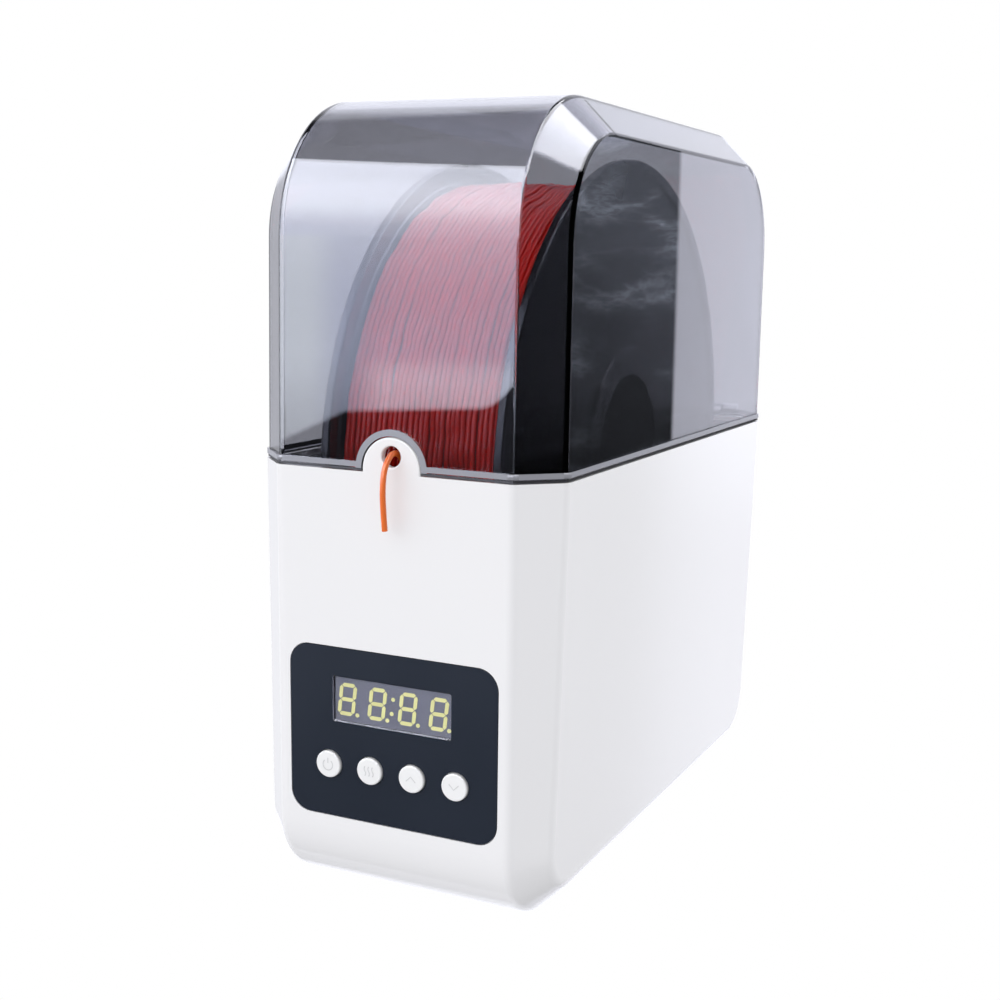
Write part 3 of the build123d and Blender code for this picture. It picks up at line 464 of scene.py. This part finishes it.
turns = grown("wound_turns", winding_tree(filament_red), {"Centre": tuple(spool_axis)})
place_piece("wound_turns", turns, "spool", "filament_winding")
drum_half, drum_inside, drum_radius = 0.0273, 0.0503, 0.0906
# the drum carries the painted shade red
drum = lathe("winding_drum", [(-drum_half, drum_inside), (-drum_half, drum_radius),
                              (drum_half, drum_radius), (drum_half, drum_inside)],
             spool_axis, painted_shade_red)
place_piece("winding_drum", drum, "spool", "filament_winding")

# ---- Control panel --------------------------------------------------------------------------
# A matte navy-black ABS plate with round corners, moulded and set flush into the base's front.
# The buttons slide in its holes and the display shows through it.
panel_black = moulded("panel_black", (0.006, 0.009, 0.015), 0.42)
panel_black.node_tree.nodes["Principled BSDF"].inputs["Specular IOR Level"].default_value = 0.25
dress("control_panel", panel_black)

# ---- Display --------------------------------------------------------------------------------
# A grey module on the board with four slanted seven-segment digits in pale yellow. A clear
# acrylic window set into the panel covers it.
display_grey = moulded("display_grey", (0.10, 0.105, 0.14), 0.5)
dress("led_display", display_grey)
digit_yellow = moulded("digit_yellow", (0.56, 0.55, 0.24), 0.5)
dress("display_digits", digit_yellow)
window, tree, shader, place = new_material("window_clear")
shader.inputs["Base Color"].default_value = (0.95, 0.95, 0.97, 1.0)
shader.inputs["Transmission Weight"].default_value = 1.0
shader.inputs["Roughness"].default_value = 0.05
dress("display_window", window)

# ---- Buttons --------------------------------------------------------------------------------
# Four moulded white ABS buttons that slide in the panel, each with a faint sign printed on its
# face: a power mark, three rising waves of heat, an arrow head up and an arrow head down.
button_white = moulded("button_white", (0.93, 0.935, 0.955), 0.3)
sign_grey = moulded("sign_grey", (0.70, 0.70, 0.72), 0.5)
printed_y, buttons_z = -0.11470, 0.04626
line_width = 0.00032


def printed_lines(name, strokes, centre_x):
    """A flat mesh on the button's face that follows polylines given in millimetres."""
    shape = bmesh.new()
    for stroke in strokes:
        row = []
        for index, (x, z) in enumerate(stroke):
            before = stroke[max(index - 1, 0)]
            after = stroke[min(index + 1, len(stroke) - 1)]
            along = Vector((after[0] - before[0], 0.0, after[1] - before[1])).normalized()
            across = Vector((-along.z, 0.0, along.x)) * line_width / 2
            middle = Vector((centre_x + x / 1000, printed_y, buttons_z + z / 1000))
            row.append((shape.verts.new(middle - across), shape.verts.new(middle + across)))
        for (a, b), (c, d) in zip(row, row[1:]):
            shape.faces.new((a, c, d, b))
    mesh = bpy.data.meshes.new(name)
    shape.to_mesh(mesh)
    shape.free()
    mesh.materials.append(sign_grey)
    return mesh


ring_radius, ring_drop = 1.7, 0.2
ring = [(ring_radius * math.sin(math.radians(t)),
         ring_radius * math.cos(math.radians(t)) - ring_drop) for t in range(40, 321, 14)]
wave_depth, wave_step, wave_low = 0.28, 0.5, 1.5
waves = [[(x + wave_depth * math.sin(t * 1.05), t * wave_step - wave_low) for t in range(7)]
         for x in (-1.3, 0.0, 1.3)]
# each button's middle along X in metres, and the strokes of its sign in millimetres
signs = {"power": (-0.0216, [ring, [(0.0, 2.0), (0.0, 0.3)]]),
         "heat": (-0.0072, waves),
         "up": (0.0072, [[(-1.6, -0.8), (0.0, 0.8), (1.6, -0.8)]]),
         "down": (0.0216, [[(-1.6, 0.8), (0.0, -0.8), (1.6, 0.8)]])}
for word, (centre_x, strokes) in signs.items():
    dress("button_" + word, button_white)
    sign = printed_lines("sign_" + word, strokes, centre_x)
    place_piece("sign_" + word, sign, word + "_button")

# ---- Rubber feet ----------------------------------------------------------------------------
# Four soft pads of grey-black rubber, cut out and stuck under the base's corners. They are dull,
# with a fine grain.
foot_rubber = moulded("foot_rubber", (0.03, 0.03, 0.032), 0.75, fine=2200.0, bump=0.25)
dress("rubber_feet", foot_rubber)

# ---- Bottom cover ---------------------------------------------------------------------------
# A moulded light grey ABS plate that closes the base from below, under the heater's space.
# Four steel screws hold it.
cover_grey = moulded("cover_grey", (0.60, 0.60, 0.61), 0.45)
dress("bottom_cover", cover_grey)

# ---- Screws ---------------------------------------------------------------------------------
# Small steel screws with pressed heads, bright from zinc plating. They hold the cover, the tray,
# the brackets and the board.
zinc = moulded("zinc_plate", (0.62, 0.63, 0.66), 0.26, spread=0.1, metal=1.0)
for node in ("cover_screws", "tray_screws", "bracket_screws", "board_screws"):
    dress(node, zinc)

# ---- Hinge pins -----------------------------------------------------------------------------
# Two polished steel pins that the lid turns on, pushed through the knuckles of base and lid at
# the rear.
pin_steel = moulded("pin_steel", (0.58, 0.58, 0.60), 0.18, spread=0.05, metal=1.0)
dress("hinge_pin_left", pin_steel)
dress("hinge_pin_right", pin_steel)

# ---- Roller axles and bushes ----------------------------------------------------------------
# Two ground steel rods, one in front and one at the rear, that carry the rollers. They turn in
# sintered bronze bushes pressed into the brackets.
axle_steel = moulded("axle_steel", (0.55, 0.55, 0.57), 0.3, spread=0.12, metal=1.0, fine=1600.0)
dress("front_axle", axle_steel)
dress("rear_axle", axle_steel)
bronze = moulded("bronze", (0.55, 0.33, 0.13), 0.38, spread=0.15, metal=1.0, fine=2400.0)
dress("axle_bushes", bronze)

# ---- Rollers --------------------------------------------------------------------------------
# Four off-white acetal rollers with a groove for the flange's rim, pressed onto the axles. The
# spool rests on them and turns them.
acetal = moulded("acetal", (0.78, 0.78, 0.75), 0.38)
dress("front_rollers", acetal)
dress("rear_rollers", acetal)

# ---- Heater ---------------------------------------------------------------------------------
# A plate of sheet aluminium with an orange silicone heating mat stuck under it and a thermal
# fuse on the mat. A small white sensor measures the air's humidity.
aluminium = moulded("aluminium", (0.72, 0.73, 0.75), 0.34, spread=0.15, metal=1.0, fine=1200.0)
dress("heater_plate", aluminium)
silicone = moulded("silicone_orange", (0.72, 0.16, 0.04), 0.6, fine=2600.0, bump=0.2)
dress("heating_mat", silicone)
fuse_body = moulded("fuse_body", (0.70, 0.68, 0.62), 0.5)
dress("thermal_fuse", fuse_body)
sensor_white = moulded("sensor_white", (0.80, 0.80, 0.78), 0.5)
dress("humidity_sensor", sensor_white)

# ---- Control board --------------------------------------------------------------------------
# A green glass-fibre board on screws behind the panel. Its push switches and other dark
# components are soldered on.
board_green = moulded("board_green", (0.03, 0.14, 0.07), 0.4)
dress("control_board", board_green)
component_black = moulded("component_black", (0.02, 0.02, 0.022), 0.45)
dress("tact_switches", component_black)
dress("board_parts", component_black)

# ---- Power inlet and lead -------------------------------------------------------------------
# A round black socket of moulded plastic, held in the rear wall by a nickel-plated nut. A lead
# with black insulation runs from it to the board.
inlet_black = moulded("inlet_black", (0.018, 0.018, 0.02), 0.4)
dress("power_inlet", inlet_black)
nut_nickel = moulded("nut_nickel", (0.60, 0.58, 0.54), 0.22, spread=0.1, metal=1.0)
dress("inlet_nut", nut_nickel)
lead_black = moulded("lead_black", (0.022, 0.022, 0.024), 0.55)
dress("power_lead", lead_black)

# ---- Studio ---------------------------------------------------------------------------------
# A white floor and, round the box, what its gloss reflects: a large soft light in front and to
# the left, a black cloth on the right, pale walls and a dark ceiling. Matte surfaces get a
# separate, gentle light, and whatever is seen straight through the lid is plain white.
floor_mesh = bpy.data.meshes.new("floor")
floor_mesh.from_pydata([(-6, -6, 0), (6, -6, 0), (6, 6, 0), (-6, 6, 0)], [], [(0, 1, 2, 3)])
floor = bpy.data.objects.new("floor", floor_mesh)
scene.collection.objects.link(floor)
floor_white, tree, shader, place = new_material("floor_white")
shader.inputs["Base Color"].default_value = (0.0, 0.0, 0.0, 1.0)
shader.inputs["Roughness"].default_value = 1.0
shader.inputs["Specular IOR Level"].default_value = 0.0
shader.inputs["Emission Color"].default_value = (1.0, 1.0, 1.0, 1.0)
# the floor is white to the eye, dimmer to matte surfaces, and hidden from reflections
floor_to_matte = 0.605
path = tree.nodes.new("ShaderNodeLightPath")
for depth, low, socket in (("Diffuse Depth", floor_to_matte, "Emission Strength"),
                           ("Glossy Depth", 0.0, "Alpha")):
    fade = tree.nodes.new("ShaderNodeMapRange")
    fade.inputs["To Min"].default_value = 1.0
    fade.inputs["To Max"].default_value = low
    tree.links.new(path.outputs[depth], fade.inputs["Value"])
    tree.links.new(fade.outputs[0], shader.inputs[socket])
floor.data.materials.append(floor_white)
floor.visible_glossy = False

world = bpy.data.worlds.new("studio")
scene.world = world
world.use_nodes = True
sky = world.node_tree
make, link = sky.nodes.new, sky.links.new
background = sky.nodes["Background"]


def value_of(operation, first, second=0.0, third=0.0):
    """One Math node; each input is a socket or a number."""
    node = make("ShaderNodeMath")
    node.operation = operation
    for socket, source in zip(node.inputs, (first, second, third)):
        if isinstance(source, (int, float)):
            socket.default_value = source
        else:
            link(source, socket)
    return node.outputs[0]


def ramp(value, low, high, at_low=0.0, at_high=1.0):
    """Smooth step from one number to another while a value passes between two limits."""
    node = make("ShaderNodeMapRange")
    node.interpolation_type = "SMOOTHSTEP"
    link(value, node.inputs["Value"])
    for label, number in (("From Min", low), ("From Max", high), ("To Min", at_low),
                          ("To Max", at_high)):
        node.inputs[label].default_value = number
    return node.outputs[0]


def blend_colour(share, first, second):
    """Mix of two colours; each is a socket or a triple."""
    node = make("ShaderNodeMix")
    node.data_type = "RGBA"
    link(share, node.inputs["Factor"])
    for socket, source in ((node.inputs[6], first), (node.inputs[7], second)):
        if isinstance(source, tuple):
            socket.default_value = (*source, 1.0)
        else:
            link(source, socket)
    return node.outputs[2]


def lobe(azimuth_degrees, elevation_degrees, strength):
    """Soft light round one direction, falling off with the fourth power of the cosine."""
    a, e = math.radians(azimuth_degrees), math.radians(elevation_degrees)
    dot = make("ShaderNodeVectorMath")
    dot.operation = "DOT_PRODUCT"
    link(direction, dot.inputs[0])
    dot.inputs[1].default_value = (math.sin(a) * math.cos(e), -math.cos(a) * math.cos(e),
                                   math.sin(e))
    facing = value_of("MAXIMUM", dot.outputs["Value"], 0.0)
    return value_of("MULTIPLY", value_of("POWER", facing, 4.0), strength)


direction = make("ShaderNodeTexCoord").outputs["Generated"]
axes = make("ShaderNodeSeparateXYZ")
link(direction, axes.inputs[0])
degrees = 180.0 / math.pi
elevation = value_of("MULTIPLY", value_of("ARCSINE", axes.outputs["Z"]), degrees)
backwards = value_of("MULTIPLY", axes.outputs["Y"], -1.0)
azimuth = value_of("MULTIPLY", value_of("ARCTAN2", axes.outputs["X"], backwards), degrees)

# what the gloss reflects: pale walls with a grey screen at the left and a low grey strip at the
# rear right, a dark ceiling over them, and a slightly dimmer wall at the rear left
pale_wall, dim_wall = (1.30, 1.32, 1.50), (1.25, 1.27, 1.38)
grey_screen, grey_strip = (0.75, 0.76, 0.82), (0.85, 0.86, 0.98)
dark_ceiling = (0.10, 0.10, 0.13)
left_screen = value_of("MULTIPLY", ramp(azimuth, -100.0, -92.0, 1.0, 0.0),
                       ramp(azimuth, -140.0, -132.0))
walls = blend_colour(left_screen, pale_wall, grey_screen)
low_rear = value_of("MULTIPLY", ramp(azimuth, 140.0, 150.0),
                    ramp(elevation, -12.0, -6.0, 1.0, 0.0))
walls = blend_colour(low_rear, walls, grey_strip)
reflected = blend_colour(ramp(elevation, 48.0, 52.0), walls, dark_ceiling)
back_wall = value_of("MULTIPLY", ramp(azimuth, -140.0, -132.0, 1.0, 0.0),
                     ramp(elevation, 52.0, 46.0))
reflected = blend_colour(back_wall, reflected, dim_wall)

# the large soft light in front: its lower edge leans, has a knee and curls up to the right; it
# brightens upwards in two steps, is whiter low down left of the knee and flares along its foot
knee_azimuth, knee_elevation = -31.2, -5.55
left_slope, right_slope, lowest_edge = 0.47, 0.035, -8.0
from_knee = value_of("SUBTRACT", azimuth, knee_azimuth)
lean = value_of("MINIMUM", value_of("MULTIPLY_ADD", from_knee, left_slope, knee_elevation),
                value_of("MULTIPLY_ADD", from_knee, right_slope, knee_elevation))
lean = value_of("MAXIMUM", lean, lowest_edge)
curl_azimuth, curl_rate, curl_rise = -26.0, 0.5, 6.0
past_curl = value_of("MAXIMUM", value_of("SUBTRACT", azimuth, curl_azimuth), 0.0)
curl = value_of("MULTIPLY", value_of("POWER", past_curl, 2.0), curl_rate)
lower_edge = value_of("ADD", lean, value_of("MINIMUM", curl, curl_rise))
over_edge = value_of("SUBTRACT", elevation, lower_edge)
front_rows = value_of("MULTIPLY", ramp(over_edge, -0.15, 0.15),
                      ramp(elevation, 51.0, 52.0, 1.0, 0.0))
front_sides = value_of("MULTIPLY", ramp(azimuth, -75.0, -73.0),
                       ramp(azimuth, 18.0, 20.0, 1.0, 0.0))
glow = make("ShaderNodeCombineXYZ")
brighter = value_of("MULTIPLY", ramp(elevation, -1.5, 2.5), 1.7)
rising = value_of("MULTIPLY_ADD", ramp(elevation, 2.5, 27.0), 4.4, brighter)
fading = value_of("MULTIPLY", ramp(elevation, -7.0, -3.0, 0.6, 1.0),
                  ramp(elevation, 34.0, 47.0, 1.0, 0.86))
beside = value_of("MULTIPLY", ramp(azimuth, -32.8, -31.2, 1.0, 0.0),
                  ramp(elevation, -2.0, 8.0, 1.0, 0.0))
flare = value_of("MULTIPLY", ramp(elevation, -4.4, -3.2, 2.2, 0.0), ramp(azimuth, -31.0, -29.6))
rising = value_of("ADD", rising, flare)
# for red, green and blue: the level at the foot, and what is added left of the knee
glow_levels = ((3.7, 1.5), (4.0, 1.6), (5.2, 0.9))
for index, (low, side) in enumerate(glow_levels):
    level = value_of("MULTIPLY_ADD", beside, side, value_of("ADD", rising, low))
    link(value_of("MULTIPLY", level, fading), glow.inputs[index])

# darkness under the soft light, and a strong light high on the right for the top's bevels
under_edge = (0.10, 0.10, 0.12)
top_lamp = (8.0, 8.1, 8.6)
below = value_of("MULTIPLY", ramp(over_edge, -0.15, 0.15, 1.0, 0.0),
                 ramp(azimuth, 60.0, 62.0, 1.0, 0.0))
below = value_of("MULTIPLY", below, ramp(azimuth, -95.0, -90.0))
reflected = blend_colour(below, reflected, under_edge)
reflected = blend_colour(value_of("MULTIPLY", front_rows, front_sides), reflected,
                         glow.outputs[0])
top_light = value_of("MULTIPLY", ramp(azimuth, 22.0, 26.0), ramp(elevation, 44.0, 46.0))
reflected = blend_colour(top_light, reflected, top_lamp)

# the black cloth on the right, with creases that catch a little light towards the rear; its top
# edge comes down there
cloth = value_of("MULTIPLY", ramp(azimuth, 48.0, 50.0), ramp(azimuth, 161.4, 161.6, 1.0, 0.0))
cloth_top = ramp(azimuth, 110.0, 130.0, 45.0, 17.0)
cloth = value_of("MULTIPLY", cloth,
                 ramp(value_of("SUBTRACT", elevation, cloth_top), -1.0, 1.0, 1.0, 0.0))
squashed = make("ShaderNodeVectorMath")
squashed.operation = "MULTIPLY"
link(direction, squashed.inputs[0])
squashed.inputs[1].default_value = (1.0, 1.0, 2.4)
creases = make("ShaderNodeTexNoise")
creases.noise_type = "RIDGED_MULTIFRACTAL"
creases.normalize = True
creases.inputs["Scale"].default_value = 8.0
creases.inputs["Detail"].default_value = 9.0
creases.inputs["Roughness"].default_value = 0.62
creases.inputs["Lacunarity"].default_value = 2.3
creases.inputs["Offset"].default_value = 0.95
creases.inputs["Gain"].default_value = 2.0
creases.inputs["Distortion"].default_value = 0.12
link(squashed.outputs[0], creases.inputs["Vector"])
haze = make("ShaderNodeTexNoise")
haze.inputs["Scale"].default_value = 7.0
haze.inputs["Detail"].default_value = 6.0
link(squashed.outputs[0], haze.inputs["Vector"])
ridges = value_of("POWER", ramp(creases.outputs["Fac"], 0.8, 3.0), 2.0)
folds = value_of("MULTIPLY_ADD", ridges, ramp(haze.outputs["Fac"], 0.38, 0.62, 0.6, 4.5),
                 ramp(haze.outputs["Fac"], 0.35, 0.7, 0.45, 0.8))
sheen = value_of("MULTIPLY", ramp(azimuth, 120.0, 150.0), ramp(elevation, -8.0, 6.0, 0.07, 0.36))
sheen = value_of("MULTIPLY", sheen, folds)
cloth_colour = make("ShaderNodeCombineXYZ")
cloth_black = 0.012
for index, share in enumerate((0.84, 0.92, 1.10)):
    link(value_of("MULTIPLY_ADD", sheen, share, cloth_black), cloth_colour.inputs[index])
reflected = blend_colour(cloth, reflected, cloth_colour.outputs[0])

# the gentle light on matte surfaces: two lobes and an even part, stronger inside the lid to
# make up for what its tint takes away
even_light, lid_gain = 0.36, 4.2
lobes = value_of("ADD", lobe(-25.0, 15.0, 2.2), lobe(140.0, 15.0, 2.8))
soft = value_of("ADD", lobes, even_light)
path = make("ShaderNodeLightPath")
inside_lid = ramp(path.outputs["Transmission Depth"], 2.0, 3.0, 1.0, lid_gain)
soft = value_of("MULTIPLY", soft, inside_lid)
soft_colour = make("ShaderNodeCombineXYZ")
for index in range(3):
    link(soft, soft_colour.inputs[index])

# matte surfaces get the gentle light, gloss gets the reflections, the eye sees plain white
bounced = value_of("MINIMUM", path.outputs["Diffuse Depth"], 1.0)
mirrored = value_of("MINIMUM", value_of("ADD", path.outputs["Diffuse Depth"],
                                        path.outputs["Glossy Depth"]), 1.0)
light = blend_colour(bounced, reflected, soft_colour.outputs[0])
light = blend_colour(mirrored, (1.0, 1.0, 1.0), light)
link(light, background.inputs["Color"])

# colours shown as they are, and enough bounces for light that crosses several clear walls
scene.view_settings.view_transform = "Standard"
scene.view_settings.look = "None"
scene.cycles.max_bounces = 12
scene.cycles.transmission_bounces = 10
scene.cycles.glossy_bounces = 6
scene.cycles.transparent_max_bounces = 8
